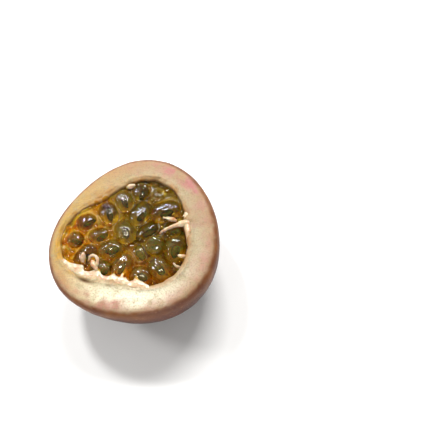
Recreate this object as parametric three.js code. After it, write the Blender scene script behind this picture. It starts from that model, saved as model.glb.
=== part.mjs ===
// Half of a purple passion fruit, cut across its middle and lying on its rounded back: a thick rind cup,
// the packed pulp in the bottom of it, and the juice sacs heaped on top, each grown round one seed.
// Millimetres, +Z up. The origin is the middle of the small flat spot that the fruit rests on.
import * as THREE from "three";

const DEGREE = Math.PI / 180;
const QUARTER_TURN = 90 * DEGREE;
const GOLDEN_ANGLE = Math.PI * (3 - Math.sqrt(5));

// The rind's outside. A passion fruit grows from three carpels, so its girth is round with three faint lobes.
const FACE_HEIGHT = 22.5; // resting spot to cut face
const GIRTH_RADIUS = 25; // mean radius at the cut
const OVAL = { share: 0.023, turn: 27 * DEGREE };
const LOBES = { share: 0.039, turn: 79 * DEGREE };
const BELLY_DROP = 2.6; // the widest girth lies this far below the cut face
const LIP_ROLL = 2.6; // how far the cut edge rolls in from the widest girth
const REST_RADIUS = 5; // flat spot

// The hollow. It is narrow at the three placentas that carry the sacs, wide between them, and off centre.
const HOLLOW_RADIUS = 17.3;
const HOLLOW_OVAL = { share: 0.094, turn: 9 * DEGREE };
const HOLLOW_LOBES = { share: 0.104, turn: 68 * DEGREE };
const HOLLOW_CENTRE = new THREE.Vector2(-1.3, 0.65);
const HOLLOW_FLOOR = 5.2; // height of its deepest point
const HOLLOW_EDGE = 0.6; // rounding of its upper edge

// The pulp packed in the bottom, hollowed a little towards its middle.
const GAP = 0.3; // clear space to the rind and the pulp
const PULP_TOP = 8.2; // height in the middle
const PULP_RISE = 2.5; // how much higher it stands at the wall
const PULP_CROWN = [0.75, 0.4]; // shares of its radius at which its top is shaped

// The juice sacs.
const SAC_COUNT = 38;
const SAC_GAP = 0.15; // clear space between two sacs
const SAC_HALF_WIDTH = [2.6, 3.05]; // smallest and largest
const SAC_STRETCH = [1.2, 1.42]; // half length over half width
const SAC_TAPER = 0.1; // how much slimmer it is towards its tail
const SAC_LID = FACE_HEIGHT - 0.2; // no sac stands above this
const WALL_SPACE = 1.5 * GAP; // clear space to the wall, which curves in between two points of it

// How the sacs are laid loose, and then let settle.
const LOOSE_SPREAD = 0.62 * HOLLOW_RADIUS;
const LOOSE_LAYERS = [3, 8.5]; // heights of the two loose layers above the pulp
const LOOSE_DIP = 0.3; // how far down the attached end of a loose sac may point
const HEAP_LEAN = new THREE.Vector3(-0.16, 0.05, -1); // which way the heap has slumped
const SETTLE_STEPS = 1600;
const FALLING_STEPS = SETTLE_STEPS / 2;
const SETTLE_FALL = 0.06; // how far a sac may fall in one step
const SETTLE_LEVEL = 0.985; // share of its slope a sac keeps in one step, as it hangs level from the wall
const SEED = 21;

// How finely each surface is divided.
const SEGMENTS = 64; // round the girth
const OUTSIDE_STEPS = 9;
const LIP_STEPS = 4;
const INSIDE_STEPS = 8;
const SAC_STEPS = 7; // from end to end
const SAC_SEGMENTS = 10;

const SKIN_COLOUR = 0x4a2423;
const PULP_COLOUR = 0x8a5a0c;
const SAC_COLOUR = 0x8c8026;

function lobed(radius, oval, lobes, angle) {
  const ovalPart = oval.share * Math.cos(2 * (angle - oval.turn));
  const lobePart = lobes.share * Math.cos(3 * (angle - lobes.turn));
  return radius * (1 + ovalPart + lobePart);
}

function girthRadius(angle) {
  return lobed(GIRTH_RADIUS, OVAL, LOBES, angle);
}

// Radius of the hollow at the cut.
function hollowRadius(angle) {
  return lobed(HOLLOW_RADIUS, HOLLOW_OVAL, HOLLOW_LOBES, angle);
}

// Radius of the hollow at a height, as a share of its radius at the cut.
function hollowShare(height) {
  const down = (FACE_HEIGHT - height) / (FACE_HEIGHT - HOLLOW_FLOOR);
  return Math.sqrt(Math.max(0, 1 - down * down));
}

// One closed loop of points round the fruit at one height.
function ring(radiusAt, height, centre = new THREE.Vector2()) {
  return Array.from({ length: SEGMENTS }, (_, i) => {
    const angle = (2 * Math.PI * i) / SEGMENTS;
    const radius = radiusAt(angle);
    return [centre.x + radius * Math.cos(angle), centre.y + radius * Math.sin(angle), height];
  });
}

// A closed surface through a run of rings, each end closed to the middle of its last ring.
function skinThrough(rings) {
  const middle = (loop) => [0, 1, 2].map((k) => loop.reduce((sum, p) => sum + p[k], 0) / loop.length);
  const positions = [...rings.flat(), middle(rings[0]), middle(rings.at(-1))].flat();
  const firstMiddle = rings.length * SEGMENTS;
  const lastMiddle = firstMiddle + 1;
  const last = (rings.length - 1) * SEGMENTS;
  const index = [];
  for (let i = 0; i < SEGMENTS; i++) {
    const next = (i + 1) % SEGMENTS;
    for (let low = 0; low < last; low += SEGMENTS) {
      const high = low + SEGMENTS;
      index.push(low + i, low + next, high + next, low + i, high + next, high + i);
    }
    index.push(firstMiddle, next, i, lastMiddle, last + i, last + next);
  }
  const geometry = new THREE.BufferGeometry();
  geometry.setAttribute("position", new THREE.Float32BufferAttribute(positions, 3));
  geometry.setIndex(index);
  geometry.computeVertexNormals();
  return geometry;
}

// The outer wall is an ellipsoid that the resting spot cuts a little off, so its own pole lies below z = 0.
function outerRings() {
  const belly = FACE_HEIGHT - BELLY_DROP;
  const restAngle = Math.acos(REST_RADIUS / GIRTH_RADIUS);
  const depth = belly / Math.sin(restAngle);
  const rings = [];
  for (let i = 0; i <= OUTSIDE_STEPS; i++) {
    const sweep = restAngle * (1 - i / OUTSIDE_STEPS);
    const share = Math.cos(sweep); // the lobes fade out with it towards the pole
    const radiusAt = (angle) => share * THREE.MathUtils.lerp(GIRTH_RADIUS, girthRadius(angle), share);
    rings.push(ring(radiusAt, belly - depth * Math.sin(sweep)));
  }
  return rings;
}

function lipRings() {
  const rings = [];
  for (let i = 1; i <= LIP_STEPS; i++) {
    const sweep = (QUARTER_TURN * i) / LIP_STEPS;
    const radiusAt = (angle) => girthRadius(angle) - LIP_ROLL * (1 - Math.cos(sweep));
    rings.push(ring(radiusAt, FACE_HEIGHT - BELLY_DROP * (1 - Math.sin(sweep))));
  }
  return rings;
}

function hollowRings() {
  const wallDepth = FACE_HEIGHT - HOLLOW_FLOOR - HOLLOW_EDGE;
  const rings = [ring((angle) => hollowRadius(angle) + HOLLOW_EDGE, FACE_HEIGHT, HOLLOW_CENTRE)];
  for (let i = 0; i < INSIDE_STEPS; i++) {
    const height = FACE_HEIGHT - HOLLOW_EDGE - wallDepth * Math.sin((QUARTER_TURN * i) / INSIDE_STEPS);
    const radiusAt = (angle) => hollowRadius(angle) * hollowShare(height);
    rings.push(ring(radiusAt, height, HOLLOW_CENTRE));
  }
  return rings;
}

// The sacs at the bottom of the cup are pressed into one mass with their juice.
function pulpRings() {
  const wallTop = PULP_TOP + PULP_RISE;
  const low = HOLLOW_FLOOR + 2 * GAP;
  const rings = [];
  for (let i = 1; i <= INSIDE_STEPS; i++) {
    const height = low + (wallTop - low) * (1 - Math.cos((QUARTER_TURN * i) / INSIDE_STEPS));
    const radiusAt = (angle) => hollowRadius(angle) * hollowShare(height - 2 * GAP) - 2 * GAP;
    rings.push(ring(radiusAt, height, HOLLOW_CENTRE));
  }
  const topRadius = (angle) => hollowRadius(angle) * hollowShare(wallTop) - 2 * GAP;
  for (const share of PULP_CROWN) {
    const radiusAt = (angle) => topRadius(angle) * share;
    rings.push(ring(radiusAt, PULP_TOP + PULP_RISE * share * share, HOLLOW_CENTRE));
  }
  return rings;
}

// Height of the pulp's top over one point.
function pulpHeight(x, y) {
  const dx = x - HOLLOW_CENTRE.x;
  const dy = y - HOLLOW_CENTRE.y;
  const edge = hollowRadius(Math.atan2(dy, dx)) * hollowShare(PULP_TOP + PULP_RISE);
  return PULP_TOP + PULP_RISE * Math.min(1, (dx * dx + dy * dy) / (edge * edge));
}

// A small repeatable random number generator, giving numbers from 0 to 1.
function randomFrom(seed) {
  const multiplier = 1664525;
  const increment = 1013904223;
  const modulus = 2 ** 32;
  let state = seed;
  return () => {
    state = (state * multiplier + increment) % modulus;
    return state / modulus;
  };
}

// Starts the sacs on a sunflower spiral, in two layers above the pulp. While they settle, each sac is three
// equal balls in a row, held a fixed distance apart: its head, its middle, and the tail that it hangs by.
function looseSacs(random) {
  const between = ([low, high]) => low + (high - low) * random();
  const perLayer = SAC_COUNT / LOOSE_LAYERS.length;
  return Array.from({ length: SAC_COUNT }, (_, i) => {
    const halfWidth = between(SAC_HALF_WIDTH);
    const halfLength = halfWidth * between(SAC_STRETCH);
    const angle = i * GOLDEN_ANGLE;
    const spread = LOOSE_SPREAD * Math.sqrt((i % perLayer) / perLayer);
    const middle = new THREE.Vector3(
      HOLLOW_CENTRE.x + spread * Math.cos(angle),
      HOLLOW_CENTRE.y + spread * Math.sin(angle),
      PULP_TOP + LOOSE_LAYERS[Math.floor(i / perLayer)],
    );
    const outward = new THREE.Vector3(
      Math.cos(angle + 2 * random()),
      Math.sin(angle + 2 * random()),
      random() - LOOSE_DIP,
    );
    outward.setLength(halfLength - halfWidth);
    const balls = [middle.clone().sub(outward), middle.clone(), middle.clone().add(outward)];
    return { balls, halfWidth, halfLength };
  });
}

function keepInHollow(ball, radius) {
  const dx = ball.x - HOLLOW_CENTRE.x;
  const dy = ball.y - HOLLOW_CENTRE.y;
  const away = Math.hypot(dx, dy);
  const lower = ball.z - radius / 2; // the wall slopes in below the ball
  const wall = hollowRadius(Math.atan2(dy, dx)) * hollowShare(lower) - radius - WALL_SPACE;
  if (away > wall) {
    ball.x -= (dx / away) * (away - wall);
    ball.y -= (dy / away) * (away - wall);
  }
  ball.z = Math.max(ball.z, pulpHeight(ball.x, ball.y) + radius + 2 * GAP);
  ball.z = Math.min(ball.z, SAC_LID - radius);
}

function straighten(sac) {
  const [head, middle, tail] = sac.balls;
  const reach = sac.halfLength - sac.halfWidth;
  const outward = tail.clone().sub(head);
  outward.z *= SETTLE_LEVEL;
  outward.normalize();
  middle.copy(head.clone().add(middle).add(tail).divideScalar(sac.balls.length));
  head.copy(middle).addScaledVector(outward, -reach);
  tail.copy(middle).addScaledVector(outward, reach);
}

function pushApart(a, b, least) {
  const between = b.clone().sub(a);
  const distance = between.length();
  if (distance >= least) return;
  between.setLength((least - distance) / 2);
  a.sub(between);
  b.add(between);
}

function pushSacsApart(one, other) {
  const least = one.halfWidth + other.halfWidth + SAC_GAP;
  for (const a of one.balls) {
    for (const b of other.balls) pushApart(a, b, least);
  }
}

function settledSacs() {
  const sacs = looseSacs(randomFrom(SEED));
  const fall = HEAP_LEAN.clone().multiplyScalar(SETTLE_FALL);
  for (let step = 0; step < SETTLE_STEPS; step++) {
    if (step < FALLING_STEPS) {
      for (const sac of sacs) sac.balls.forEach((ball) => ball.add(fall));
    }
    sacs.forEach((one, i) => {
      for (const other of sacs.slice(i + 1)) pushSacsApart(one, other);
    });
    for (const sac of sacs) {
      straighten(sac);
      sac.balls.forEach((ball) => keepInHollow(ball, sac.halfWidth));
      straighten(sac);
    }
  }
  return sacs;
}

// A plump drop along Y, with round ends, its head at -Y and its slimmer tail at +Y.
function sacGeometry({ halfWidth, halfLength }) {
  const reach = halfLength - halfWidth;
  const profile = [];
  for (let i = 0; i <= SAC_STEPS; i++) {
    const sweep = (Math.PI * i) / SAC_STEPS;
    const along = -halfWidth * Math.cos(sweep) - reach * Math.sign(Math.cos(sweep));
    const taper = 1 - SAC_TAPER * (1 + along / halfLength);
    const radius = i === 0 || i === SAC_STEPS ? 0 : halfWidth * Math.sin(sweep) * taper;
    profile.push(new THREE.Vector2(radius, along));
  }
  return new THREE.LatheGeometry(profile, SAC_SEGMENTS);
}

function material(colour, roughness) {
  return new THREE.MeshStandardMaterial({ color: colour, roughness, metalness: 0 });
}

function mesh(name, geometry, finish) {
  const made = new THREE.Mesh(geometry, finish);
  made.name = name;
  return made;
}

const fruit = new THREE.Group();
const rindShape = skinThrough([...outerRings(), ...lipRings(), ...hollowRings()]);
fruit.add(mesh("rind", rindShape, material(SKIN_COLOUR, 0.35)));
fruit.add(mesh("lower_pulp", skinThrough(pulpRings()), material(PULP_COLOUR, 0.2)));

const sacFinish = material(SAC_COLOUR, 0.1);
settledSacs().forEach((sac, i) => {
  const [head, middle, tail] = sac.balls;
  const outward = tail.clone().sub(head).normalize();
  const piece = mesh(`juice_sac_${String(i + 1).padStart(2, "0")}`, sacGeometry(sac), sacFinish);
  piece.position.copy(middle);
  piece.quaternion.setFromUnitVectors(THREE.Object3D.DEFAULT_UP, outward);
  fruit.add(piece);
});

export default fruit;
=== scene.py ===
# Half of a purple passion fruit, cut across its middle and lying on its rounded back, with its pulp in
# place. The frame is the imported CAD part's: +Z up, in metres, with its origin at the middle of the flat
# spot under it. Sizes and places here are in millimetres, but the studio's and the shaders' are in
# metres. Angles run in degrees round the fruit from +X towards +Y.
import math

import bpy
import numpy as np
from mathutils import Matrix, Vector, noise


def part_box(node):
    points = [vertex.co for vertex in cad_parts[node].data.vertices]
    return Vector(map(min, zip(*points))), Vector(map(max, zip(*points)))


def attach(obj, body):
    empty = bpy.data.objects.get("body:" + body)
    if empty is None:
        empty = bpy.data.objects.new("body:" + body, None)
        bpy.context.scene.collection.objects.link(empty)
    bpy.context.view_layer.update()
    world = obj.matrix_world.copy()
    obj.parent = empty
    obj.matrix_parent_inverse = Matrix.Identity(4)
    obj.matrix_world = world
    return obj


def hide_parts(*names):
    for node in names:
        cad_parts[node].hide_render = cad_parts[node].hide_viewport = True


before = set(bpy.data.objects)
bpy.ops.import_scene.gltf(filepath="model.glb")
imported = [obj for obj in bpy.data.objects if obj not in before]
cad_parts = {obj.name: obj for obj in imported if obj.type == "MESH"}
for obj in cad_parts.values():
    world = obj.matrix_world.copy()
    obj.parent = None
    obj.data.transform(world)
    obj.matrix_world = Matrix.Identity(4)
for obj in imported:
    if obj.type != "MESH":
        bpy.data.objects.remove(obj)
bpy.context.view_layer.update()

# -----------------------------------------------------------------------------------------------------
# Camera. It looks down on the cut face from in front, a little from the right, through a rather long
# lens. It aims to the right of the fruit, so that the fruit stands left of the middle of the view.
# -----------------------------------------------------------------------------------------------------
MM = 0.001
EYE = (45.6, -68.4, 180.0)  # from the middle of the cut face, as is the aim
AIM = (23.2, 6.2, 0.0)
LENS = 57.1
SENSOR = 36

face_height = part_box("rind")[1].z / MM
face_middle = Vector((0, 0, face_height))
eye = (face_middle + Vector(EYE)) * MM
aim = (face_middle + Vector(AIM)) * MM
forward = (aim - eye).normalized()
right = forward.cross(Vector((0, 1, 0))).normalized()

camera_data = bpy.data.cameras.new("camera")
camera_data.lens = LENS
camera_data.sensor_width = SENSOR
camera_data.clip_start = 10 * MM
camera = bpy.data.objects.new("camera", camera_data)
turn = Matrix((right, right.cross(forward), -forward)).transposed().to_4x4()
camera.matrix_world = Matrix.Translation(eye) @ turn
bpy.context.scene.collection.objects.link(camera)
bpy.context.scene.camera = camera

# -----------------------------------------------------------------------------------------------------
# Rind. One grown cup of pale, spongy pith under a thin waxy skin, purple-brown with pale pores. The
# knife has left the pith flat and a little torn, and its edge has dried back into a rounded, blushing
# lip.
# -----------------------------------------------------------------------------------------------------
GIRTH_RADIUS = 25.0
GIRTH_OVAL = (0.023, 27)  # how far it departs from a circle, as a share of its radius, and where it peaks
GIRTH_LOBES = (0.039, 79)
BELLY_DROP = 2.6  # from the cut down to the widest girth
LIP_ROLL = 2.6  # how far in from the girth the rounded lip ends
REST_RADIUS = 5.0
HOLLOW_RADIUS = 17.3
HOLLOW_OVAL = (0.094, 9)
HOLLOW_LOBES = (0.104, 68)
HOLLOW_CENTRE = np.array((-1.3, 0.65))
HOLLOW_FLOOR = 5.2
HOLLOW_EDGE = 0.6  # radius of the hollow's rounded edge
RIND_SEGMENTS = 320
REST_RINGS = 8
OUTSIDE_RINGS = 72
LIP_RINGS = 16
FACE_RINGS = 40
EDGE_RINGS = 5
WALL_RINGS = 48


def lobed(radius, oval, lobes, angle):
    """A nearly round outline: oval and lobes each give a share of the radius and the angle of their peak."""
    oval_part = oval[0] * np.cos(2 * (angle - math.radians(oval[1])))
    lobe_part = lobes[0] * np.cos(3 * (angle - math.radians(lobes[1])))
    return radius * (1 + oval_part + lobe_part)


def hollow_radius(angle):
    return lobed(HOLLOW_RADIUS, HOLLOW_OVAL, HOLLOW_LOBES, angle)


def hollow_share(height):
    """Radius of the hollow at a height, as a share of its radius at the cut."""
    down = (face_height - height) / (face_height - HOLLOW_FLOOR)
    return np.sqrt(np.clip(1 - down * down, 0, 1))


def ring(radius, angle, height, centre=(0, 0)):
    """One loop of points round the fruit, in millimetres."""
    x = centre[0] + radius * np.cos(angle)
    y = centre[1] + radius * np.sin(angle)
    return np.stack((x, y, np.broadcast_to(height, angle.shape)), axis=-1)


def grid_normals(grid):
    """Outward normals of a grid of rings that runs from a body's bottom, over its outside, to its top."""
    around = np.roll(grid, -1, axis=1) - np.roll(grid, 1, axis=1)
    along = np.gradient(grid, axis=0)
    normals = np.cross(around, along)
    return normals / np.maximum(np.linalg.norm(normals, axis=-1, keepdims=True), 1e-9)


def fractal(points, size, octaves=3, seed=0.0):
    """Fractal noise of about -1 to 1, whose largest lumps are about that many millimetres across."""
    flat = points.reshape(-1, 3) / size + seed
    values = [noise.fractal(Vector(p), 1.0, 2.0, octaves) for p in flat]
    return np.array(values).reshape(points.shape[:-1])


def bump_at(value, middle, width):
    """A smooth hump of height 1."""
    return np.exp(-(((value - middle) / width) ** 2))


def fade(value, none, full):
    """0 at one value, 1 at the other, straight between them and level beyond."""
    return np.clip((value - none) / (full - none), 0, 1)


def towards(angle, degrees, width):
    """1 where an angle points to that side of the fruit, falling to nothing over that many degrees."""
    return bump_at((np.degrees(angle) - degrees + 180) % 360 - 180, 0, width)


def object_from(name, vertices, faces, attributes=None, edges=()):
    """A smooth mesh object from points in millimetres, with a float attribute for each named list."""
    mesh = bpy.data.meshes.new(name)
    mesh.from_pydata((np.asarray(vertices) * MM).tolist(), list(edges), faces)
    for key, values in (attributes or {}).items():
        layer = mesh.attributes.new(key, "FLOAT", "POINT")
        layer.data.foreach_set("value", np.asarray(values, np.float32).ravel())
    mesh.shade_smooth()
    made = bpy.data.objects.new(name, mesh)
    bpy.context.scene.collection.objects.link(made)
    return made


def grid_faces(rings, segments):
    """Faces of a tube of rings, closed at each end by a fan to one pole point that follows the rings."""
    faces = []
    for low in range(0, (rings - 1) * segments, segments):
        high = low + segments
        for i in range(segments):
            j = (i + 1) % segments
            faces.append((low + i, low + j, high + j, high + i))
    first_pole = rings * segments
    last = (rings - 1) * segments
    for i in range(segments):
        j = (i + 1) % segments
        faces.append((first_pole, j, i))
        faces.append((first_pole + 1, last + i, last + j))
    return faces


def with_poles(grid):
    """A grid of points or values as one list, followed by those of its two poles."""
    poles = np.stack((grid[0].mean(axis=0), grid[-1].mean(axis=0)))
    return np.concatenate((grid.reshape(-1, *grid.shape[2:]), poles))


turns = np.linspace(0, 2 * math.pi, RIND_SEGMENTS, endpoint=False)
girth = lobed(GIRTH_RADIUS, GIRTH_OVAL, GIRTH_LOBES, turns)
hollow = hollow_radius(turns)
belly = face_height - BELLY_DROP
rest_angle = math.acos(REST_RADIUS / GIRTH_RADIUS)
belly_depth = belly / math.sin(rest_angle)

# Each row of the cup: its ring, 1 on the skin or 0 on the cut, how far it lies in from the widest
# girth, and how far out from the hollow's edge, which counts below nothing down its wall.
OUTSIDE = 8.0
LIP_SKIN_END = (0.72, 0.42)  # shares of the lip where the skin has ended, and where it begins to end
rows = []
for share in np.linspace(0.12, 0.96, REST_RINGS):
    rows.append((ring(REST_RADIUS * share, turns, 0.0), 1.0, 0.0, OUTSIDE))
for sweep in np.linspace(rest_angle, 0, OUTSIDE_RINGS):
    radius = math.cos(sweep) * (GIRTH_RADIUS + (girth - GIRTH_RADIUS) * math.cos(sweep))
    rows.append((ring(radius, turns, belly - belly_depth * math.sin(sweep)), 1.0, 0.0, OUTSIDE))
for i in range(1, LIP_RINGS + 1):
    sweep = math.pi / 2 * i / LIP_RINGS
    rolled = LIP_ROLL * (1 - math.cos(sweep))
    height = face_height - BELLY_DROP * (1 - math.sin(sweep))
    on_skin = fade(i / LIP_RINGS, *LIP_SKIN_END)
    rows.append((ring(girth - rolled, turns, height), on_skin, rolled, OUTSIDE))
lip_ring = rows[-1][0]
edge_ring = ring(hollow + HOLLOW_EDGE, turns, face_height, HOLLOW_CENTRE)
face_width = np.linalg.norm(lip_ring - edge_ring, axis=-1)
for share in np.linspace(0, 1, FACE_RINGS + 1)[1:]:
    face_ring = lip_ring + (edge_ring - lip_ring) * share
    rows.append((face_ring, 0.0, LIP_ROLL + face_width * share, face_width * (1 - share)))
for i in range(1, EDGE_RINGS + 1):
    sweep = math.pi / 2 * i / EDGE_RINGS
    height = face_height - HOLLOW_EDGE * (1 - math.cos(sweep))
    radius = hollow * hollow_share(height) + HOLLOW_EDGE * (1 - math.sin(sweep))
    round_ring = ring(radius, turns, height, HOLLOW_CENTRE)
    rows.append((round_ring, 0.0, LIP_ROLL + face_width, -HOLLOW_EDGE * sweep))
wall_depth = face_height - HOLLOW_EDGE - HOLLOW_FLOOR
for i in range(1, WALL_RINGS):
    height = face_height - HOLLOW_EDGE - wall_depth * math.sin(math.pi / 2 * i / WALL_RINGS)
    wall_ring = ring(hollow * hollow_share(height), turns, height, HOLLOW_CENTRE)
    rows.append((wall_ring, 0.0, LIP_ROLL + face_width, height - face_height))

rind_grid = np.stack([row[0] for row in rows])
shape = rind_grid.shape[:2]
skin, from_rim, from_hollow = (
    np.stack([np.broadcast_to(row[column], shape[1]) for row in rows]) for column in (1, 2, 3)
)

# Relief: the skin is faintly lumpy and fuller in front, the cut pith a little torn, the edge of the
# lining stands up round the hollow, the placentas bulge from its wall, and at the front left the lining
# is folded.
SKIN_LUMPS = 0.10
FRONT_BULGE = 1.4
FRONT_BULGE_HEIGHT = 11.0
PITH_TEARS = 0.15
LINING_EDGE = 0.32
EDGE_TEARS = 0.40
PLACENTA_BULGE = 1.5
PLACENTA_ANGLES = (8, 128, 248)
FOLD_DEPTH = 0.8
FOLD_ANGLE = 227
relief = SKIN_LUMPS * fractal(rind_grid, 9.0) * skin
front_bulge = towards(turns, 285, 55) * bump_at(rind_grid[..., 2], FRONT_BULGE_HEIGHT, 6.5)
relief += FRONT_BULGE * skin * front_bulge
relief += PITH_TEARS * fractal(rind_grid, 3.2, 4, 7.0) * (1 - skin)
relief += LINING_EDGE * bump_at(from_hollow, 0.7, 0.55) * (0.7 + 0.6 * fractal(rind_grid, 4.0, 2, 3.0))
relief += EDGE_TEARS * fractal(rind_grid, 2.4, 3, 11.0) * bump_at(from_hollow, 0.0, 1.6)
for degrees in PLACENTA_ANGLES:
    bulge = towards(turns, degrees, 9.0) * fade(from_hollow, 0.0, -2.0)
    relief += PLACENTA_BULGE * bulge * (1 + 0.5 * fractal(rind_grid, 3.0, 3, 5.0))
fold_and_painted_shade = towards(turns, FOLD_ANGLE, 8) * bump_at(from_hollow, 1.0, 0.6)
relief -= FOLD_DEPTH * fold_and_painted_shade
flat_spot = (rind_grid[..., 2] < 0.05) & (skin > 0.99)
rind_grid = rind_grid + grid_normals(rind_grid) * np.where(flat_spot, 0.0, relief)[..., None]

# The corky scar where the flower's style fell off: a shallow dimple in a raised ring, beside the flat
# spot.
SCAR_RADIUS = 1.3
SCAR_RIM = 0.22
SCAR_DIMPLE = 0.35
SCAR_RINGS_UP = 17  # rings up from the flat spot
SCAR_TURN = 0.62  # share of a turn round the fruit
scar_middle = rind_grid[REST_RINGS + SCAR_RINGS_UP, int(RIND_SEGMENTS * SCAR_TURN)]
from_scar = np.linalg.norm(rind_grid - scar_middle, axis=-1)
scar_relief = SCAR_RIM * bump_at(from_scar, SCAR_RADIUS, 0.45) - SCAR_DIMPLE * bump_at(from_scar, 0, 0.8)
rind_grid = rind_grid + grid_normals(rind_grid) * scar_relief[..., None]

# Where each tint lies, as a share of 1: the pith is palest in front, where painted light and wet sheen lie
# over its cream, yellow where it is thin at the left, tan and brown towards the rim, pink in two places
# along it, and stained by juice near and down the hollow, whose wall is also painted dark as shade, as is
# the fold in the lining. The skin's edge is ragged, and its lower part is painted darker as shade, with a
# blotchy upper edge.
def mottled(plain, swing):
    """A share made uneven by the pith's mottle."""
    return np.clip(plain + swing * mottle, 0, 1)


mottle = fractal(rind_grid, 4.5, 3, 31.0)
front = towards(turns, 263, 50)
pink_sides = 0.2 + 0.6 * towards(turns, 238, 38) + 0.7 * towards(turns, 52, 30)
pink_patches = 0.7 + 1.6 * fractal(rind_grid, 3.4, 3, 41.0)
ragged = 0.5 * fractal(rind_grid, 1.5, 3, 13.0)
blotchy_height = rind_grid[..., 2] + 3.0 * fractal(rind_grid, 7.0, 4, 51.0)
tints = {
    "skin": np.clip(skin + ragged * bump_at(skin, 0.5, 0.4), 0, 1),
    # Painted light and wet sheen on the front of the pith, over its cream.
    "pale": front * bump_at(from_rim, 5.0, 4.0),
    "yellow": towards(turns, 168, 60) * fade(from_rim, 0.6, 2.4),
    "tan": fade(from_rim, 5.4 - 2.8 * front, 0.8) * mottled(0.85, 0.7),
    "pink": np.clip(pink_sides * bump_at(from_rim, 2.8, 2.0) * pink_patches, 0, 1),
    "brown": fade(from_rim, 1.5, 0.3),
    "stain": fade(from_hollow, 1.2 + 2.4 * towards(turns, 135, 28), -0.9) * mottled(0.7, 0.9),
    "spill": towards(turns, 192, 22) * fade(from_hollow, 2.8, 0.2) * mottled(0.6, 1.1),
    # Painted shade in the fold of the lining.
    "fold_and_painted_shade": fold_and_painted_shade,
    # Juice stain and painted shade down the hollow's wall.
    "wall": fade(from_hollow, -0.2, -2.0),
    # Painted shade: the skin darker lower down, towards the table, with a blotchy edge.
    "low": fade(blotchy_height, belly + 1.0, belly - 7.0),
    "scar": np.clip(1.5 - from_scar / SCAR_RADIUS, 0, 1),
}
rind = object_from(
    "rind_cup",
    with_poles(rind_grid),
    grid_faces(*shape),
    {key: with_poles(values) for key, values in tints.items()},
)


def colour(hex_code):
    """An sRGB hex colour as linear RGBA."""
    channels = [int(hex_code[i : i + 2], 16) / 255 for i in (0, 2, 4)]
    linear = [c / 12.92 if c <= 0.04045 else ((c + 0.055) / 1.055) ** 2.4 for c in channels]
    return (*linear, 1.0)


def add_node(tree, kind, inputs=None, output=None, **settings):
    """Adds one node with its settings, and returns its named output, or else its first one.

    Each input takes a value, a hex colour or the socket that feeds it.
    """
    node = tree.nodes.new(kind)
    for key, value in settings.items():
        setattr(node, key, value)
    for key, value in (inputs or {}).items():
        named = [s for s in node.inputs if s.enabled and s.name == key]
        socket = named[0] if named else node.inputs[key]
        if isinstance(value, bpy.types.NodeSocket):
            tree.links.new(value, socket)
        elif isinstance(value, str) and socket.type == "RGBA":
            socket.default_value = colour(value)
        else:
            socket.default_value = value
    return node.outputs[output] if output else next((s for s in node.outputs if s.enabled), None)


def pattern_scale(size_mm):
    """Scale of a noise or cell texture in Object coordinates for features of that size in millimetres."""
    return 1 / (size_mm * MM)


def new_material(name):
    """An empty material, its node tree, its surface socket and its Object coordinates."""
    material = bpy.data.materials.new(name)
    material.use_nodes = True
    tree = material.node_tree
    tree.nodes.clear()
    output = tree.nodes.new("ShaderNodeOutputMaterial")
    coordinates = tree.nodes.new("ShaderNodeTexCoord")
    return material, tree, output.inputs["Surface"], coordinates.outputs["Object"]


def patched(tree, where, base, patches):
    """A colour with soft patches over it, each with its size in mm, detail, two noise levels and colour.

    A patch begins where the noise passes its first level and is full where it passes the second.
    """
    for size, detail, low, high, tint in patches:
        pattern = {"Vector": where, "Scale": pattern_scale(size), "Detail": detail}
        raw = add_node(tree, "ShaderNodeTexNoise", pattern)
        amount = add_node(tree, "ShaderNodeMapRange", {"Value": raw, "From Min": low, "From Max": high})
        base = add_node(tree, "ShaderNodeMix", {"Factor": amount, "A": base, "B": tint}, data_type="RGBA")
    return base


def tinted(tree, base, layers):
    """A colour with others laid over it in order, each where the mesh attribute of its name is above 0."""
    for key, tint in layers.items():
        amount = add_node(tree, "ShaderNodeAttribute", output="Fac", attribute_name=key)
        base = add_node(tree, "ShaderNodeMix", {"Factor": amount, "A": base, "B": tint}, data_type="RGBA")
    return base


def specks(tree, where, spacing, radius, share):
    """Soft round specks of up to that radius, one to a cell of that spacing, in a share of the cells."""
    near = {"Vector": where, "Scale": pattern_scale(spacing)}
    largest = radius / spacing
    chance = add_node(tree, "ShaderNodeTexVoronoi", near, "Color")
    distance = add_node(tree, "ShaderNodeTexVoronoi", near, "Distance")
    chosen = {"Value": chance, "From Min": 1 - share, "From Max": 1.0001}
    present = add_node(tree, "ShaderNodeMapRange", chosen)
    reach = add_node(tree, "ShaderNodeMath", {0: present, 1: largest}, operation="MULTIPLY")
    inside = add_node(tree, "ShaderNodeMath", {0: reach, 1: distance}, operation="SUBTRACT")
    soft_edge = {"Value": inside, "From Min": -0.5 * largest, "From Max": 0.6 * largest}
    return add_node(tree, "ShaderNodeMapRange", soft_edge)


# Purple passion fruit skin: wax gives it a soft gloss, and its pores show as pale specks 1 to 2 mm apart;
# lower down it is painted darker as shade. The pith is matte and mealy, cream with pink and tan towards the
# rim, and juice has stained it along the hollow. Painted light and wet sheen make its front paler, and
# painted shade darkens the hollow's wall and the fold in the lining.
rind_material, tree, surface, where = new_material("passion fruit rind, grown wax skin and cut pith")
pith = patched(tree, where, "A29272", [(5.0, 3.0, 0.38, 0.66, "98805C"), (3.0, 4.0, 0.52, 0.80, "A07A68")])
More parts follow.
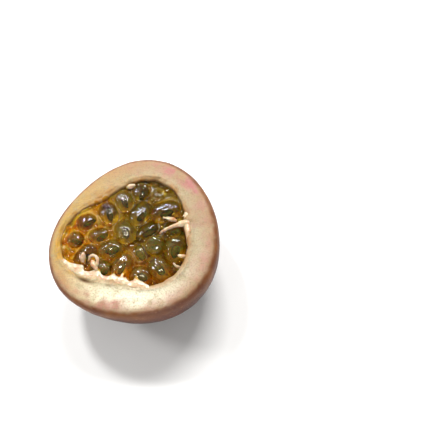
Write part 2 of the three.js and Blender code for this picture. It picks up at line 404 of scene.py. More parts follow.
# The pale front is painted light and wet sheen over the cream; the wall's dark is juice stain and painted
# shade, and the fold's dark is painted shade.
pith_layers = {
    "pale": "ECE8CC",
    "tan": "98704E",
    "pink": "A46862",
    "yellow": "AC8E4A",
    "brown": "6A3C24",
    "stain": "946018",
    "spill": "B88A24",
    "wall": "5A3812",
    "fold_and_painted_shade": "5A3A18",
}
pith = tinted(tree, pith, pith_layers)
pith = patched(tree, where, pith, [(1.8, 3.0, 0.50, 0.85, "9A8A64"), (0.45, 2.0, 0.48, 0.95, "80644E")])
dark_specks = specks(tree, where, 1.3, 0.20, 0.4)
pith = add_node(tree, "ShaderNodeMix", {"Factor": dark_specks, "A": pith, "B": "84684E"}, data_type="RGBA")

skin_colour = patched(tree, where, "683612", [(6.0, 4.0, 0.45, 0.75, "84501E")])
# Painted shade: the skin darker lower down.
skin_colour = tinted(tree, skin_colour, {"low": "330F0B"})
skin_colour = patched(tree, where, skin_colour, [(9.0, 3.0, 0.50, 0.80, "52200F")])
pores = specks(tree, where, 1.6, 0.34, 1.0)
fine_pores = specks(tree, where, 0.8, 0.17, 1.0)
pores = add_node(tree, "ShaderNodeMath", {0: pores, 1: fine_pores}, operation="MAXIMUM")
pored = {"Factor": pores, "A": skin_colour, "B": "80502C"}
skin_colour = add_node(tree, "ShaderNodeMix", pored, data_type="RGBA")
skin_colour = tinted(tree, skin_colour, {"scar": "B98E5C"})

skin_share = add_node(tree, "ShaderNodeAttribute", output="Fac", attribute_name="skin")
skin_on_pith = {"Factor": skin_share, "A": pith, "B": skin_colour}
grain = patched(tree, where, "000000", [(1.1, 2.0, 0.3, 0.7, "A0A0A0"), (0.45, 4.0, 0.3, 0.8, "FFFFFF")])
shader = add_node(
    tree,
    "ShaderNodeBsdfPrincipled",
    {
        "Base Color": add_node(tree, "ShaderNodeMix", skin_on_pith, data_type="RGBA"),
        "Roughness": 0.55,
        "Specular IOR Level": 0.3,
        "Coat Weight": add_node(tree, "ShaderNodeMath", {0: skin_share, 1: 0.12}, operation="MULTIPLY"),
        "Coat Roughness": 0.2,
        "Subsurface Weight": 0.12,
        "Subsurface Scale": 0.0012,
        "Normal": add_node(tree, "ShaderNodeBump", {"Height": grain, "Distance": 0.07 * MM}),
    },
)
tree.links.new(shader, surface)
rind.data.materials.append(rind_material)

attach(rind, "root")
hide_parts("rind")

# -----------------------------------------------------------------------------------------------------
# Juice sacs. Each is a thin, tight skin full of cloudy amber juice, grown round one seed. They hang
# from the placentas by their slim ends, and packed together they press each other flat where they
# touch.
# -----------------------------------------------------------------------------------------------------
SAC_TAPER = 0.1
SAC_SWELL = 1.32  # how much fuller than its plain CAD drop each sac may grow
SAC_WIDEST = 0.94  # how wide a tapered CAD sac gets, as a share of its untapered width
SAC_ROUNDNESS = 0.85  # under 1 makes its ends blunter than an oval's
SAC_SKIN = 0.03  # clear space between pressed sacs
PRESS_ROUNDS = 30
PRESS_STEP = 0.5  # how much of its overlap with a neighbour a sac gives up in each round
WALL_STEP = 0.6  # and of what lies beyond the wall or the cut
SMOOTHING_ROUNDS = 3
SAC_LUMPS = 0.21
WALL_SPACE = 0.15
SAC_SEGMENTS = 60
SAC_RINGS = 40
SAC_CLOUD = (0.0, 0.13)
MILKY_CLOUD = 0.12  # how much of what is behind a sac's skin its juice hides
NEIGHBOUR_REACH = 11.0
random = np.random.default_rng(7)


class Sac:
    """Where one CAD sac lies: its middle, its outward direction, its half sizes, all in millimetres."""

    def __init__(self, name):
        self.name = name
        points = np.array([v.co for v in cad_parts[name].data.vertices]) / MM
        points = np.unique(points.round(3), axis=0)
        axis = np.linalg.eigh(np.cov((points - points.mean(axis=0)).T))[1][:, 2]
        along = (points - points.mean(axis=0)) @ axis
        self.middle = points.mean(axis=0) + axis * (along.max() + along.min()) / 2
        self.half_length = (along.max() - along.min()) / 2
        along = (points - self.middle) @ axis
        off_axis = np.linalg.norm(points - self.middle - along[:, None] * axis, axis=1)
        self.half_width = off_axis.max() / SAC_WIDEST
        fat_side = np.sum(off_axis * along)
        self.outward = axis if fat_side < 0 else -axis
        helper = np.array((0.0, 0.0, 1.0)) if abs(axis[2]) < 0.9 else np.array((1.0, 0.0, 0.0))
        self.side = np.cross(self.outward, helper)
        self.side /= np.linalg.norm(self.side)
        self.up = np.cross(self.outward, self.side)

    def depth(self, points):
        """0 on the line through the sac, 1 on its plain surface, and more outside it."""
        offset = points - self.middle
        reach = self.half_length - self.half_width
        beside = np.clip(offset @ self.outward, -reach, reach)
        away = np.linalg.norm(offset - beside[..., None] * self.outward, axis=-1)
        return away / (self.half_width * (1 - SAC_TAPER * (1 + beside / self.half_length)))

    def plain_surface(self):
        """A grid of points on the plain drop, from its round head to its slim tail."""
        sweep = np.linspace(0, math.pi, SAC_RINGS + 2)[1:-1, None]
        turn = np.linspace(0, 2 * math.pi, SAC_SEGMENTS, endpoint=False)[None, :]
        width = self.half_width * (1 - SAC_TAPER * (1 - np.cos(sweep))) * np.sin(sweep) ** SAC_ROUNDNESS
        along = -np.cos(sweep) * self.half_length + 0 * turn
        side = (width * np.cos(turn))[..., None] * self.side
        up = (width * np.sin(turn))[..., None] * self.up
        return self.middle + along[..., None] * self.outward + side + up


def beyond_wall(points):
    """How many millimetres each point lies beyond the hollow's wall."""
    offset = points[..., :2] - HOLLOW_CENTRE
    wall = hollow_radius(np.arctan2(offset[..., 1], offset[..., 0])) * hollow_share(points[..., 2])
    return np.linalg.norm(offset, axis=-1) - (wall - WALL_SPACE)


def side_share(points, degrees, width):
    """1 at the hollow's wall on that side of the fruit, less towards its middle, and 0 on other sides."""
    offset = points[..., :2] - HOLLOW_CENTRE
    out = np.linalg.norm(offset, axis=-1) / HOLLOW_RADIUS
    return np.clip(out, 0, 1) * towards(np.arctan2(offset[..., 1], offset[..., 0]), degrees, width)


sacs = [Sac(name) for name in sorted(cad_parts) if name.startswith("juice_sac_")]


def pressed_surface(sac):
    """The sac swollen until it meets its neighbours, the wall or the level of the cut."""
    plain = sac.plain_surface()
    reach = plain - sac.middle
    near = [s for s in sacs if s is not sac and np.linalg.norm(s.middle - sac.middle) < NEIGHBOUR_REACH]
    swell = np.full(plain.shape[:2], SAC_SWELL)
    for _ in range(PRESS_ROUNDS):
        points = sac.middle + reach * swell[..., None]
        others = np.min([s.depth(points) for s in near], axis=0)
        overlap = np.maximum(sac.depth(points) - others + SAC_SKIN / sac.half_width, 0)
        beyond = np.maximum(beyond_wall(points), 0) / sac.half_width
        above = np.maximum(points[..., 2] - face_height, 0) / sac.half_width
        excess = np.maximum(overlap * PRESS_STEP, np.maximum(beyond, above) * WALL_STEP)
        swell = swell - excess
    for _ in range(SMOOTHING_ROUNDS):  # rounds off the edges of the pressed faces
        around = (np.roll(swell, 1, axis=1) + np.roll(swell, -1, axis=1)) / 2
        along = swell.copy()
        along[1:-1] = (swell[:-2] + swell[2:]) / 2
        swell = np.minimum(swell, 0.5 * swell + 0.25 * around + 0.25 * along)
    return sac.middle + reach * swell[..., None]


# A sac is clear enough to see its seed through: the wet skin gives small, sharp highlights, and the
# thinly cloudy juice in it, olive to orange, is let through by lamps, so that it glows from within.
sac_material, tree, surface, where = new_material(
    "passion fruit juice sac, grown wet skin full of cloudy juice"
)
cloudy = tinted(tree, "A8961E", {"milky": "A09030", "orange": "D09E18"})
cloudy = patched(tree, where, cloudy, [(2.4, 3.0, 0.45, 0.75, "8E6A18"), (1.2, 2.0, 0.58, 0.80, "D8B040")])
tint = tinted(tree, "F4E68E", {"orange": "F6D66C"})
cloud = add_node(tree, "ShaderNodeTexNoise", {"Vector": where, "Scale": pattern_scale(1.8), "Detail": 3.0})
cloud = add_node(
    tree,
    "ShaderNodeMapRange",
    {"Value": cloud, "From Min": 0.35, "From Max": 0.7, "To Min": SAC_CLOUD[0], "To Max": SAC_CLOUD[1]},
)
milky = add_node(tree, "ShaderNodeAttribute", output="Fac", attribute_name="milky")
cloud = add_node(tree, "ShaderNodeMath", {0: milky, 1: MILKY_CLOUD, 2: cloud}, operation="MULTIPLY_ADD")
wrinkles = patched(tree, where, "000000", [(0.9, 3.0, 0.35, 0.70, "FFFFFF")])
wrinkled = add_node(tree, "ShaderNodeBump", {"Height": wrinkles, "Distance": 0.045 * MM})
juice = add_node(
    tree,
    "ShaderNodeBsdfPrincipled",
    {"Base Color": cloudy, "Roughness": 0.3, "Subsurface Weight": 0.6, "Subsurface Scale": 0.0015},
)
clear = add_node(tree, "ShaderNodeBsdfTransparent", {"Color": tint})
filled = add_node(tree, "ShaderNodeMixShader", {0: cloud, 1: clear, 2: juice})
wet = {"Color": "FFFFFF", "Roughness": 0.02, "Normal": wrinkled}
gloss = add_node(tree, "ShaderNodeBsdfAnisotropic", wet)
mirrored = add_node(tree, "ShaderNodeFresnel", {"IOR": 1.35, "Normal": wrinkled})
inside = add_node(tree, "ShaderNodeNewGeometry", output="Backfacing")
mirrored = add_node(tree, "ShaderNodeMath", {0: mirrored, 1: inside}, operation="SUBTRACT", use_clamp=True)
shader = add_node(tree, "ShaderNodeMixShader", {0: mirrored, 1: filled, 2: gloss})
tree.links.new(shader, surface)

# The clearest sacs, which show their seeds best, are those nearest these places.
CLEAR_SPOTS = ((1.9, 16.0), (8.9, 10.4), (3.3, 5.5), (-7.1, 6.9), (-17.0, 3.3), (-15.5, -3.9), (2.3, 0.8))
CLEAR_REACH = 3.0
SEED_ROOM = 2.235  # a seed is made smaller if its sac's surface comes nearer than this to its middle
seed_spots = []
seed_sizes = []
for sac in sacs:
    grid = pressed_surface(sac)
    middle = grid.reshape(-1, 3).mean(axis=0)
    warm = 0.7 * side_share(middle, 178, 50) + 1.1 * side_share(middle, 262, 38)
    orange = np.clip(0.08 + warm + random.normal(0, 0.12), 0, 1)
    clear = max(bump_at(math.dist(middle[:2], spot), 0, CLEAR_REACH) for spot in CLEAR_SPOTS)
    milky = random.uniform(0.5, 0.9) - clear
    lumps = SAC_LUMPS * fractal(grid, 2.4, 3, random.uniform(0, 50))
    grid = grid + grid_normals(grid) * lumps[..., None]
    spin = random.uniform(0, math.pi)
    through = sac.side * math.cos(spin) + sac.up * math.sin(spin)
    through = through * 0.4 + np.array((0.0, 0.0, 1.0)) * random.uniform(0.2, 1.0)
    raised = np.array((0, 0, random.uniform(-0.5, 0.5)))
    seed_middle = middle + raised + sac.outward * random.uniform(-0.6, 0.6)
    points = with_poles(grid)
    room = min(1.0, np.linalg.norm(points - seed_middle, axis=1).min() / SEED_ROOM)
    seed_spots.append((seed_middle, sac.outward, through))
    seed_sizes.append(room)
    piece = object_from(
        sac.name.replace("juice_sac", "fine_sac"),
        points,
        grid_faces(SAC_RINGS, SAC_SEGMENTS),
        {
            "orange": np.full(len(points), orange),
            "milky": np.full(len(points), np.clip(milky, 0, 1)),
        },
    )
    piece.data.materials.append(sac_material)
    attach(piece, "root")
    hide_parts(sac.name)

# -----------------------------------------------------------------------------------------------------
# Seeds. Hard, flat ovals, nearly black and finely pitted, one grown inside each sac. Each comes to a
# point at the end that its stalk holds it by.
# -----------------------------------------------------------------------------------------------------
SEED_HALF_SIZES = (1.4, 0.75, 2.1)  # across, through and along, in millimetres
SEED_POINT = 0.28  # how much narrower than a plain oval its attached end is


def geometry_tree(name, inputs):
    """A Geometry Nodes tree, its inputs and its outputs. Each named input is given with its kind."""
    group = bpy.data.node_groups.new(name, "GeometryNodeTree")
    group.interface.new_socket("Geometry", in_out="INPUT", socket_type="NodeSocketGeometry")
    group.interface.new_socket("Geometry", in_out="OUTPUT", socket_type="NodeSocketGeometry")
    for label, kind in inputs.items():
        group.interface.new_socket(label, in_out="INPUT", socket_type=kind)
    return group, group.nodes.new("NodeGroupInput").outputs, group.nodes.new("NodeGroupOutput").inputs


def scattered(group, given, shape):
    """Real copies of a shape, one on each point, turned and sized by the point's own values."""
    turned = add_node(group, "GeometryNodeInputNamedAttribute", {"Name": "turn"}, data_type="FLOAT_VECTOR")
    size = add_node(group, "GeometryNodeInputNamedAttribute", {"Name": "size"}, data_type="FLOAT")
    copies = {"Points": given["Geometry"], "Instance": shape, "Rotation": turned, "Scale": size}
    placed = add_node(group, "GeometryNodeInstanceOnPoints", copies)
    return add_node(group, "GeometryNodeRealizeInstances", {"Geometry": placed})


def roughened(group, geometry, height, size_mm, detail):
    """The geometry pushed in and out along its normals by soft lumps of that height and size."""
    lumps = add_node(group, "ShaderNodeTexNoise", {"Scale": pattern_scale(size_mm), "Detail": detail})
    centred = add_node(group, "ShaderNodeMath", {0: lumps, 1: 0.5}, operation="SUBTRACT")
    push = add_node(group, "ShaderNodeMath", {0: centred, 1: height}, operation="MULTIPLY")
    normal = add_node(group, "GeometryNodeInputNormal")
    offset = add_node(group, "ShaderNodeVectorMath", {"Vector": normal, "Scale": push}, operation="SCALE")
    return add_node(group, "GeometryNodeSetPosition", {"Geometry": geometry, "Offset": offset})


def hand_out(group, made, geometry, material):
    """Smooths the geometry, gives it its material and makes it what the tree hands out."""
    smooth = add_node(group, "GeometryNodeSetShadeSmooth", {"Geometry": geometry})
    coated = add_node(group, "GeometryNodeSetMaterial", {"Geometry": smooth, "Material": material})
    group.links.new(coated, made["Geometry"])


def grown(name, base, group, values):
    """The plain mesh that a Geometry Nodes tree makes from a base object, which is then removed."""
    modifier = base.modifiers.new("grow", "NODES")
    modifier.node_group = group
    sockets = {s.name: s.identifier for s in group.interface.items_tree if s.in_out == "INPUT"}
    for label, value in values.items():
        modifier[sockets[label]] = value
    bpy.context.view_layer.update()
    evaluated = base.evaluated_get(bpy.context.evaluated_depsgraph_get())
    mesh = bpy.data.meshes.new_from_object(evaluated)
    mesh.name = name
    base.modifiers.remove(modifier)
    bpy.data.objects.remove(base)
    made = bpy.data.objects.new(name, mesh)
    bpy.context.scene.collection.objects.link(made)
    return made


def turned_points(name, spots, attributes=None):
    """Loose points, each with a turn that points Z outward and Y through the flat of what it carries."""
    made = object_from(name, [spot[0] for spot in spots], [], attributes)
    layer = made.data.attributes.new("turn", "FLOAT_VECTOR", "POINT")
    for i, (_, outward, through) in enumerate(spots):
        z_axis = Vector(outward)
        y_axis = (Vector(through) - z_axis * Vector(through).dot(z_axis)).normalized()
        layer.data[i].vector = Matrix((y_axis.cross(z_axis), y_axis, z_axis)).transposed().to_euler()
    return made


# The coat is almost black and dull, with fine pits that break up what light reaches it through the
# juice.
seed_material, tree, surface, where = new_material("passion fruit seed, hard pitted coat")
pits = specks(tree, where, 0.42, 0.2, 1.0)
shader = add_node(
    tree,
    "ShaderNodeBsdfPrincipled",
    {
        "Base Color": patched(tree, where, "080B0D", [(1.2, 3.0, 0.40, 0.70, "14191C")]),
        "Roughness": 0.5,
        "Specular IOR Level": 0.2,
        "Normal": add_node(tree, "ShaderNodeBump", {"Height": pits, "Distance": 0.08 * MM}, invert=True),
    },
)
tree.links.new(shader, surface)

group, given, made = geometry_tree(
    "seeds in their sacs", {"Half Sizes": "NodeSocketVector", "Coat": "NodeSocketMaterial"}
)
ball = add_node(group, "GeometryNodeMeshUVSphere", {"Segments": 20, "Rings": 14, "Radius": 1.0})
place = add_node(group, "GeometryNodeInputPosition")
height = add_node(group, "ShaderNodeSeparateXYZ", {0: place}, "Z")
# Its width falls off with the cube of its height, which draws its attached end to a point.
cubed = add_node(group, "ShaderNodeMath", {0: height, 1: 3.0}, operation="POWER")
narrow = add_node(group, "ShaderNodeMath", {0: cubed, 1: -SEED_POINT, 2: 1.0}, operation="MULTIPLY_ADD")
narrowed = add_node(group, "ShaderNodeCombineXYZ", {"X": narrow, "Y": narrow, "Z": 1.0})
shaped = add_node(group, "ShaderNodeVectorMath", {0: place, 1: narrowed}, operation="MULTIPLY")
sized = add_node(group, "ShaderNodeVectorMath", {0: shaped, 1: given["Half Sizes"]}, operation="MULTIPLY")
seed_shape = add_node(group, "GeometryNodeSetPosition", {"Geometry": ball, "Position": sized})
hand_out(group, made, scattered(group, given, seed_shape), given["Coat"])
seed_points = turned_points("seed_spots", seed_spots, {"size": seed_sizes})
seed_values = {"Half Sizes": tuple(size * MM for size in SEED_HALF_SIZES), "Coat": seed_material}
seeds = grown("seeds", seed_points, group, seed_values)
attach(seeds, "root")

# -----------------------------------------------------------------------------------------------------
# Juice and lower pulp. Juice from the cut sacs fills the cup round the whole ones, higher on the left
# where the heap has slumped, and climbs a little up every sac and up the wall.
# -----------------------------------------------------------------------------------------------------
JUICE_LEVEL = 20.4
JUICE_SLOPE = 1.1
JUICE_RISE_WAY = np.array((-0.7, 0.7))
JUICE_WAVES = 0.35
MENISCUS = 0.6  # how high the juice climbs up a sac or the wall
SAC_CLIMB_WIDTH = 0.5
WALL_CLIMB_WIDTH = 0.6
UNDER_SAC_DROP = 3.6  # how far the juice's surface dips inside each sac, to stay out of sight of its seed
POOL_SEGMENTS = 400
POOL_RINGS = 80
POOL_FLOOR_RINGS = 14
POOL_FLOOR_TOP = 14.0

pool_turns = np.linspace(0, 2 * math.pi, POOL_SEGMENTS, endpoint=False)
pool_wall = hollow_radius(pool_turns)
floor_rings = []
for sweep in np.linspace(0.06, 1, POOL_FLOOR_RINGS):
    height = HOLLOW_FLOOR + 0.3 + (POOL_FLOOR_TOP - HOLLOW_FLOOR) * (1 - math.cos(sweep * math.pi / 2))
    floor_rings.append(ring(pool_wall * hollow_share(height - 0.1) - 0.1, pool_turns, height, HOLLOW_CENTRE))
shares = np.linspace(1, 0.02, POOL_RINGS)[:, None]
out = (pool_wall - 0.05)[None, :] * shares
out_way = np.stack((np.cos(pool_turns), np.sin(pool_turns)), axis=-1)
flat = HOLLOW_CENTRE + out[..., None] * out_way
level = JUICE_LEVEL + JUICE_SLOPE * ((flat - HOLLOW_CENTRE) @ JUICE_RISE_WAY) / HOLLOW_RADIUS
level = level + JUICE_WAVES * fractal(np.dstack((flat, level)), 3.5, 3, 21.0)
at_level = np.dstack((flat, level))
nearest = np.min([sac.depth(at_level) for sac in sacs], axis=0)
sac_width = np.mean([sac.half_width for sac in sacs])
from_wall = pool_wall[None, :] * (1 - shares)
climb = MENISCUS * np.exp(-np.maximum(nearest - SAC_SWELL, 0) * sac_width / SAC_CLIMB_WIDTH)
climb = np.maximum(climb, MENISCUS * np.exp(-from_wall / WALL_CLIMB_WIDTH))
under_sac = fade(nearest, SAC_SWELL - 0.08, SAC_SWELL - 0.28)
dip = under_sac * under_sac * (3 - 2 * under_sac) * UNDER_SAC_DROP
top_grid = np.dstack((flat, np.maximum(level + climb - dip, POOL_FLOOR_TOP + 0.5)))
wall_limit = pool_wall[None, :] * hollow_share(top_grid[..., 2]) - 0.02
top_grid[..., :2] = HOLLOW_CENTRE + np.minimum(out, wall_limit)[..., None] * out_way
pool_grid = np.concatenate((np.stack(floor_rings), top_grid))
# Painted light and shade for the juice's colour: lighter on the left, the front and two smaller sides, where
# light falls into the pulp, and darker at the right.
painted_light = 0.08 + 0.9 * side_share(top_grid, 175, 60) + 0.5 * side_share(top_grid, 262, 30)
painted_light = painted_light + 0.5 * side_share(top_grid, 40, 16) + 0.5 * side_share(top_grid, 135, 24)
painted_light = painted_light - 0.3 * side_share(top_grid, 335, 45)
painted_light = np.clip(painted_light + 0.25 * fractal(top_grid, 3.0, 3, 61.0), 0, 1)
warm = 0.5 * side_share(top_grid, 180, 40) + 1.2 * side_share(top_grid, 268, 40)
warm = warm * (0.4 + 0.6 * under_sac) * (0.8 + 0.5 * fractal(top_grid, 4.0, 2, 101.0))
floor_values = np.zeros((POOL_FLOOR_RINGS, POOL_SEGMENTS))
# The juice's colour takes painted light from these values, and a painted glow from the places under the
# clear sacs.
pool = object_from(
    "juice_and_pulp",
    with_poles(pool_grid),
    grid_faces(*pool_grid.shape[:2]),
    {
        "painted_light": with_poles(np.concatenate((floor_values, painted_light))),
        "under_sac": with_poles(np.concatenate((floor_values, under_sac * (0.55 + 0.45 * painted_light)))),
        "orange": with_poles(np.concatenate((floor_values, np.clip(warm, 0, 1)))),
    },
)

# Cloudy juice with crushed sacs in it: wet and glossy. Painted shade makes it dark brown in the deep gaps
# and at the right, painted light makes it amber on the sides where light gets in, and a painted glow makes
# it yellow right under a clear sac.
pool_material, tree, surface, where = new_material("passion fruit juice, pressed cloudy juice with pulp")
# Painted shade in the dark brown base, painted light on the lit sides, and a painted yellow glow under the
# clear sacs.
juice = tinted(tree, "30200A", {"painted_light": "9E8218", "under_sac": "D0B43C", "orange": "D67E0C"})
juice = patched(tree, where, juice, [(2.0, 3.0, 0.50, 0.75, "6A4A10")])
ripples = patched(tree, where, "000000", [(0.8, 3.0, 0.35, 0.65, "FFFFFF")])
shader = add_node(
    tree,
    "ShaderNodeBsdfPrincipled",
    {
        "Base Color": juice,
        "Roughness": 0.15,
        "IOR": 1.34,
        "Subsurface Weight": 0.6,
        "Subsurface Scale": 0.0015,
        "Coat Weight": 0.3,
        "Coat Roughness": 0.03,
        "Normal": add_node(tree, "ShaderNodeBump", {"Height": ripples, "Distance": 0.08 * MM}),
    },
)
tree.links.new(shader, surface)
pool.data.materials.append(pool_material)
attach(pool, "root")
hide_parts("lower_pulp")

# -----------------------------------------------------------------------------------------------------
# Small sacs. Sacs that never set a seed, and scraps of cut ones, lie half sunk in the juice between the
# others.
# -----------------------------------------------------------------------------------------------------
SMALL_SACS = 60
SMALL_SAC_SPACING = 1.9
SMALL_SAC_SIZES = (0.65, 1.35)
SMALL_SAC_LUMPS = 1.2

gap_spots = top_grid[(nearest > SAC_SWELL + 0.06) & (from_wall > 0.5)]
random.shuffle(gap_spots)
small_spots = []
for spot in gap_spots:
    clear = all(np.linalg.norm(spot - other[0]) > SMALL_SAC_SPACING for other in small_spots)
    if clear and len(small_spots) < SMALL_SACS:
        small_spots.append((spot, random.normal(size=3), random.normal(size=3)))
places = np.array([spot[0] for spot in small_spots])
warmth = 0.2 + 0.6 * side_share(places, 178, 60) + 0.6 * side_share(places, 262, 45)
small_points = turned_points(
    "small_sac_spots",
    [(spot, way / np.linalg.norm(way), through) for spot, way, through in small_spots],
    {"orange": np.clip(warmth, 0, 1), "size": random.uniform(*SMALL_SAC_SIZES, len(places))},
)
group, given, made = geometry_tree(
    "small sacs in the gaps", {"Lumps": "NodeSocketFloat", "Skin": "NodeSocketMaterial"}
)
ball = add_node(group, "GeometryNodeMeshUVSphere", {"Segments": 20, "Rings": 12, "Radius": MM})
place = add_node(group, "GeometryNodeInputPosition")
stretched = add_node(group, "ShaderNodeVectorMath", {0: place, 1: (1.0, 0.85, 1.35)}, operation="MULTIPLY")
drop = add_node(group, "GeometryNodeSetPosition", {"Geometry": ball, "Position": stretched})
lumpy = roughened(group, scattered(group, given, drop), given["Lumps"], 1.6, 1.0)
hand_out(group, made, lumpy, given["Skin"])
small_values = {"Lumps": SMALL_SAC_LUMPS * MM, "Skin": sac_material}
small_sacs = grown("small_sacs", small_points, group, small_values)
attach(small_sacs, "root")

# -----------------------------------------------------------------------------------------------------
# Torn membrane. The thin lining of the hollow came away with the knife along the front left, and its
# ragged edge, with a few long teeth, lies over the pulp.
# -----------------------------------------------------------------------------------------------------
MEMBRANE_FROM = 200
MEMBRANE_TO = 292
MEMBRANE_STEPS = 220
MEMBRANE_AROUND = 20
MEMBRANE_THICKNESS = 0.22
MEMBRANE_REACH = 1.5
MEMBRANE_WAVES = 0.18
MEMBRANE_TEETH = (  # direction in degrees, extra reach in millimetres, width in degrees
    (213, 1.8, 5.0),
    (229, 2.4, 6.5),
    (251, 0.9, 3.0),
    (263, 1.9, 1.6),
    (268, 0.9, 2.4),
    (281, 2.0, 2.2),
)

directions = np.linspace(MEMBRANE_FROM, MEMBRANE_TO, MEMBRANE_STEPS)
strip = np.radians(directions)
edge = hollow_radius(strip)
along_edge = ring(edge, strip, face_height, HOLLOW_CENTRE)
reach = MEMBRANE_REACH * (0.6 + 0.5 * fractal(along_edge, 5.0, 2, 71.0))
for degrees, length, width in MEMBRANE_TEETH:
    reach = reach + length * bump_at(directions, degrees, width)
from_start = fade(directions, MEMBRANE_FROM, MEMBRANE_FROM + 6)
from_end = fade(directions, MEMBRANE_TO, MEMBRANE_TO - 5)
reach = np.maximum(reach, 0.2) * np.minimum(from_start, from_end) + 0.15
curl = 0.3 + 0.5 * fractal(along_edge, 3.0, 2, 81.0)
membrane_rings = []
for i, angle in enumerate(strip):
    around = np.linspace(0, 2 * math.pi, MEMBRANE_AROUND, endpoint=False)
    share = 0.5 - 0.5 * np.cos(around)
    inward = share * (reach[i] + 0.9) - 0.9
    thickness = -MEMBRANE_THICKNESS * (1.3 - share) * np.sin(around)
    over_pulp = np.maximum(inward, 0)
    height = face_height - 0.1 + curl[i] * over_pulp * 0.35 - 0.10 * over_pulp**2 + thickness
    membrane_rings.append(
        np.stack(
            (
                HOLLOW_CENTRE[0] + (edge[i] - inward) * math.cos(angle),
                HOLLOW_CENTRE[1] + (edge[i] - inward) * math.sin(angle),
                height,
            ),
            axis=-1,
        )
    )
membrane_grid = np.stack(membrane_rings)
waves = MEMBRANE_WAVES * fractal(membrane_grid, 1.6, 3, 91.0)
membrane_grid = membrane_grid + waves[..., None] * np.array((0, 0, 1.0))
membrane = object_from("torn_membrane", with_poles(membrane_grid), grid_faces(*membrane_grid.shape[:2]))

# Wet lining and stalks: cream to peach, soft and a little see-through, so thin edges glow.
membrane_material, tree, surface, where = new_material(
    "passion fruit lining and seed stalks, torn wet membrane"
)
flesh = patched(tree, where, "C0A884", [(2.6, 3.0, 0.44, 0.68, "B8865E"), (1.1, 3.0, 0.50, 0.75, "D4C8A4")])
fibres = patched(tree, where, "000000", [(0.5, 4.0, 0.35, 0.70, "FFFFFF")])
shader = add_node(
    tree,
    "ShaderNodeBsdfPrincipled",
    {
        "Base Color": flesh,
        "Roughness": 0.35,
        "Subsurface Weight": 0.5,
        "Subsurface Scale": 0.001,
        "Coat Weight": 0.4,
        "Coat Roughness": 0.1,
        "Normal": add_node(tree, "ShaderNodeBump", {"Height": fibres, "Distance": 0.06 * MM}),
    },
)
tree.links.new(shader, surface)
membrane.data.materials.append(membrane_material)
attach(membrane, "root")

# -----------------------------------------------------------------------------------------------------
# Seed stalks. Each sac hung from a placenta by a pale, fleshy stalk: the cut left one forked one
# standing from the right wall, and stumps and curls of others at the front left.
# -----------------------------------------------------------------------------------------------------
# Each stalk is a path: x, y, z and half thickness at each point, in millimetres.
STALKS = {
    "forked stalk": (
        (17.0, 3.7, 20.6, 2.2),
        (14.6, 3.5, 21.8, 1.1),
        (11.8, 2.5, 22.5, 0.55),
        (8.8, 1.3, 22.3, 0.35),
        (7.4, 0.7, 21.6, 0.12),
    ),
    "its upper arm": (
        (15.6, 3.0, 21.3, 1.0),
        (15.4, 5.0, 21.8, 0.8),
        (15.3, 7.0, 21.6, 0.6),
        (15.0, 8.6, 20.8, 0.25),
    ),
    "its lower arm": (
        (15.6, 3.4, 21.3, 1.2),
        (16.1, 0.9, 21.8, 1.1),
        (16.2, -1.6, 21.4, 0.7),
        (16.0, -3.4, 20.8, 0.3),
    ),
    "loose flap": (
        (8.6, 5.6, 21.8, 0.25),
        (9.8, 5.1, 22.4, 0.45),
        (11.4, 4.6, 22.5, 0.7),
        (12.6, 4.3, 22.0, 0.3),
    ),
    "tooth": (
        (-15.0, -7.4, 20.8, 0.7),
        (-14.8, -6.2, 22.2, 0.85),
        (-14.6, -5.2, 22.9, 0.75),
        (-14.4, -4.6, 22.9, 0.35),
    ),
    "curl": (
        (-13.2, -6.8, 21.6, 0.3),
        (-12.4, -5.9, 22.6, 0.5),
        (-11.2, -5.7, 22.9, 0.5),
        (-10.3, -6.8, 22.9, 0.5),
        (-10.3, -8.4, 22.5, 0.45),
        (-10.9, -9.8, 21.6, 0.3),
    ),
    "inner flap": (
        (-12.0, -6.9, 22.2, 0.3),
        (-11.6, -7.8, 22.6, 0.75),
        (-10.8, -9.2, 22.4, 0.7),
        (-9.8, -10.2, 21.6, 0.25),
    ),
    "right nib": (
        (15.2, -6.6, 21.4, 0.5),
        (14.2, -6.8, 22.2, 0.5),
        (13.4, -6.4, 22.2, 0.2),
    ),
    "lower right nib": (
        (13.6, -9.8, 21.4, 0.4),
        (12.7, -9.5, 22.3, 0.35),
        (12.0, -8.8, 22.4, 0.15),
    ),
    "top wedge": (
        (-3.2, 16.2, 21.2, 0.4),
        (-1.8, 16.0, 22.3, 0.7),
        (-0.4, 16.5, 22.3, 0.3),
    ),
}
STALK_STEPS = 36
STALK_LUMPS = 0.7

stalk_points = []
stalk_edges = []
for path in STALKS.values():
    first = len(stalk_points)
    stalk_points += path
    stalk_edges += [(i, i + 1) for i in range(first, len(stalk_points) - 1)]
stalk_points = np.array(stalk_points)
stalk_base = object_from(
    "stalk_paths", stalk_points[:, :3], [], {"thickness": stalk_points[:, 3]}, edges=stalk_edges
)
group, given, made = geometry_tree(
    "stalks along their paths",
    {"Steps": "NodeSocketInt", "Lumps": "NodeSocketFloat", "Flesh": "NodeSocketMaterial"},
)
path = add_node(group, "GeometryNodeMeshToCurve", {"Mesh": given["Geometry"]})
bent = add_node(group, "GeometryNodeCurveSplineType", {"Curve": path}, spline_type="CATMULL_ROM")
even = add_node(group, "GeometryNodeResampleCurve", {"Curve": bent, "Count": given["Steps"]})
thickness = add_node(group, "GeometryNodeInputNamedAttribute", {"Name": "thickness"}, data_type="FLOAT")
outline = add_node(group, "GeometryNodeCurvePrimitiveCircle", {"Resolution": 14, "Radius": MM})
solid = add_node(
    group,
    "GeometryNodeCurveToMesh",
    {"Curve": even, "Profile Curve": outline, "Scale": thickness, "Fill Caps": True},
)
lumpy = roughened(group, solid, given["Lumps"], 1.4, 2.0)
hand_out(group, made, lumpy, given["Flesh"])
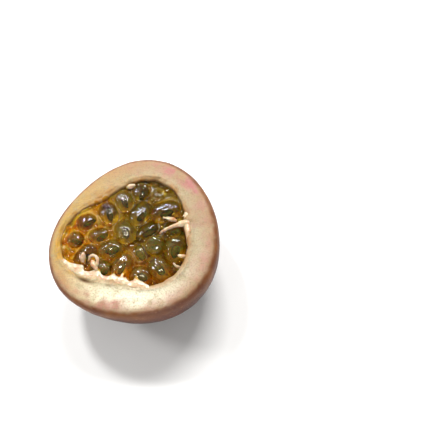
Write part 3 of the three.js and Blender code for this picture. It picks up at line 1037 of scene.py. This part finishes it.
stalk_values = {"Steps": STALK_STEPS, "Lumps": STALK_LUMPS * MM, "Flesh": membrane_material}
stalks = grown("seed_stalks", stalk_base, group, stalk_values)
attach(stalks, "root")

# -----------------------------------------------------------------------------------------------------
# Studio. A plain white table, a softbox behind and above, a second one at the left, and a bright, even
# room.
# -----------------------------------------------------------------------------------------------------
FLOOR_RADIUS = 1.2
FLOOR_CORNERS = 64
FLOOR_GAP = 0.05  # keeps the table just clear of the flat spot, in millimetres
floor_turns = np.linspace(0, 2 * math.pi, FLOOR_CORNERS, endpoint=False)
floor_ring = ring(FLOOR_RADIUS / MM, floor_turns, -FLOOR_GAP)
floor = object_from("floor", floor_ring, [list(range(FLOOR_CORNERS))])
floor_material, tree, surface, where = new_material("white table, matt lacquer")
shader = add_node(
    tree,
    "ShaderNodeBsdfPrincipled",
    {
        "Base Color": patched(tree, where, "F4F3F1", [(40.0, 3.0, 0.35, 0.65, "F0EFED")]),
        "Roughness": 0.55,
    },
)
tree.links.new(shader, surface)
floor.data.materials.append(floor_material)


def softbox(name, place, target, width, height, power):
    """A rectangular area light at a place, turned to a target, all in metres."""
    data = bpy.data.lights.new(name, "AREA")
    data.shape = "RECTANGLE"
    data.size = width
    data.size_y = height
    data.energy = power
    light = bpy.data.objects.new(name, data)
    light.location = place
    light.rotation_euler = (Vector(target) - Vector(place)).to_track_quat("-Z", "Y").to_euler()
    bpy.context.scene.collection.objects.link(light)


fruit_middle = (0, 0, 0.015)
softbox("key softbox", (0.12, 0.34, 0.46), fruit_middle, 0.26, 0.10, 3.2)
softbox("left softbox", (-0.40, 0.10, 0.34), fruit_middle, 0.10, 0.10, 0.9)
softbox("small lamp", (-0.12, 0.26, 0.38), fruit_middle, 0.06, 0.06, 1.4)
softbox("front fill", (0.10, -0.60, 0.16), fruit_middle, 0.50, 0.20, 1.6)

world = bpy.data.worlds.new("studio room")
world.use_nodes = True
background = world.node_tree.nodes["Background"]
background.inputs["Color"].default_value = colour("FFFFFF")
background.inputs["Strength"].default_value = 0.33
bpy.context.scene.world = world
bpy.context.scene.view_settings.view_transform = "Standard"
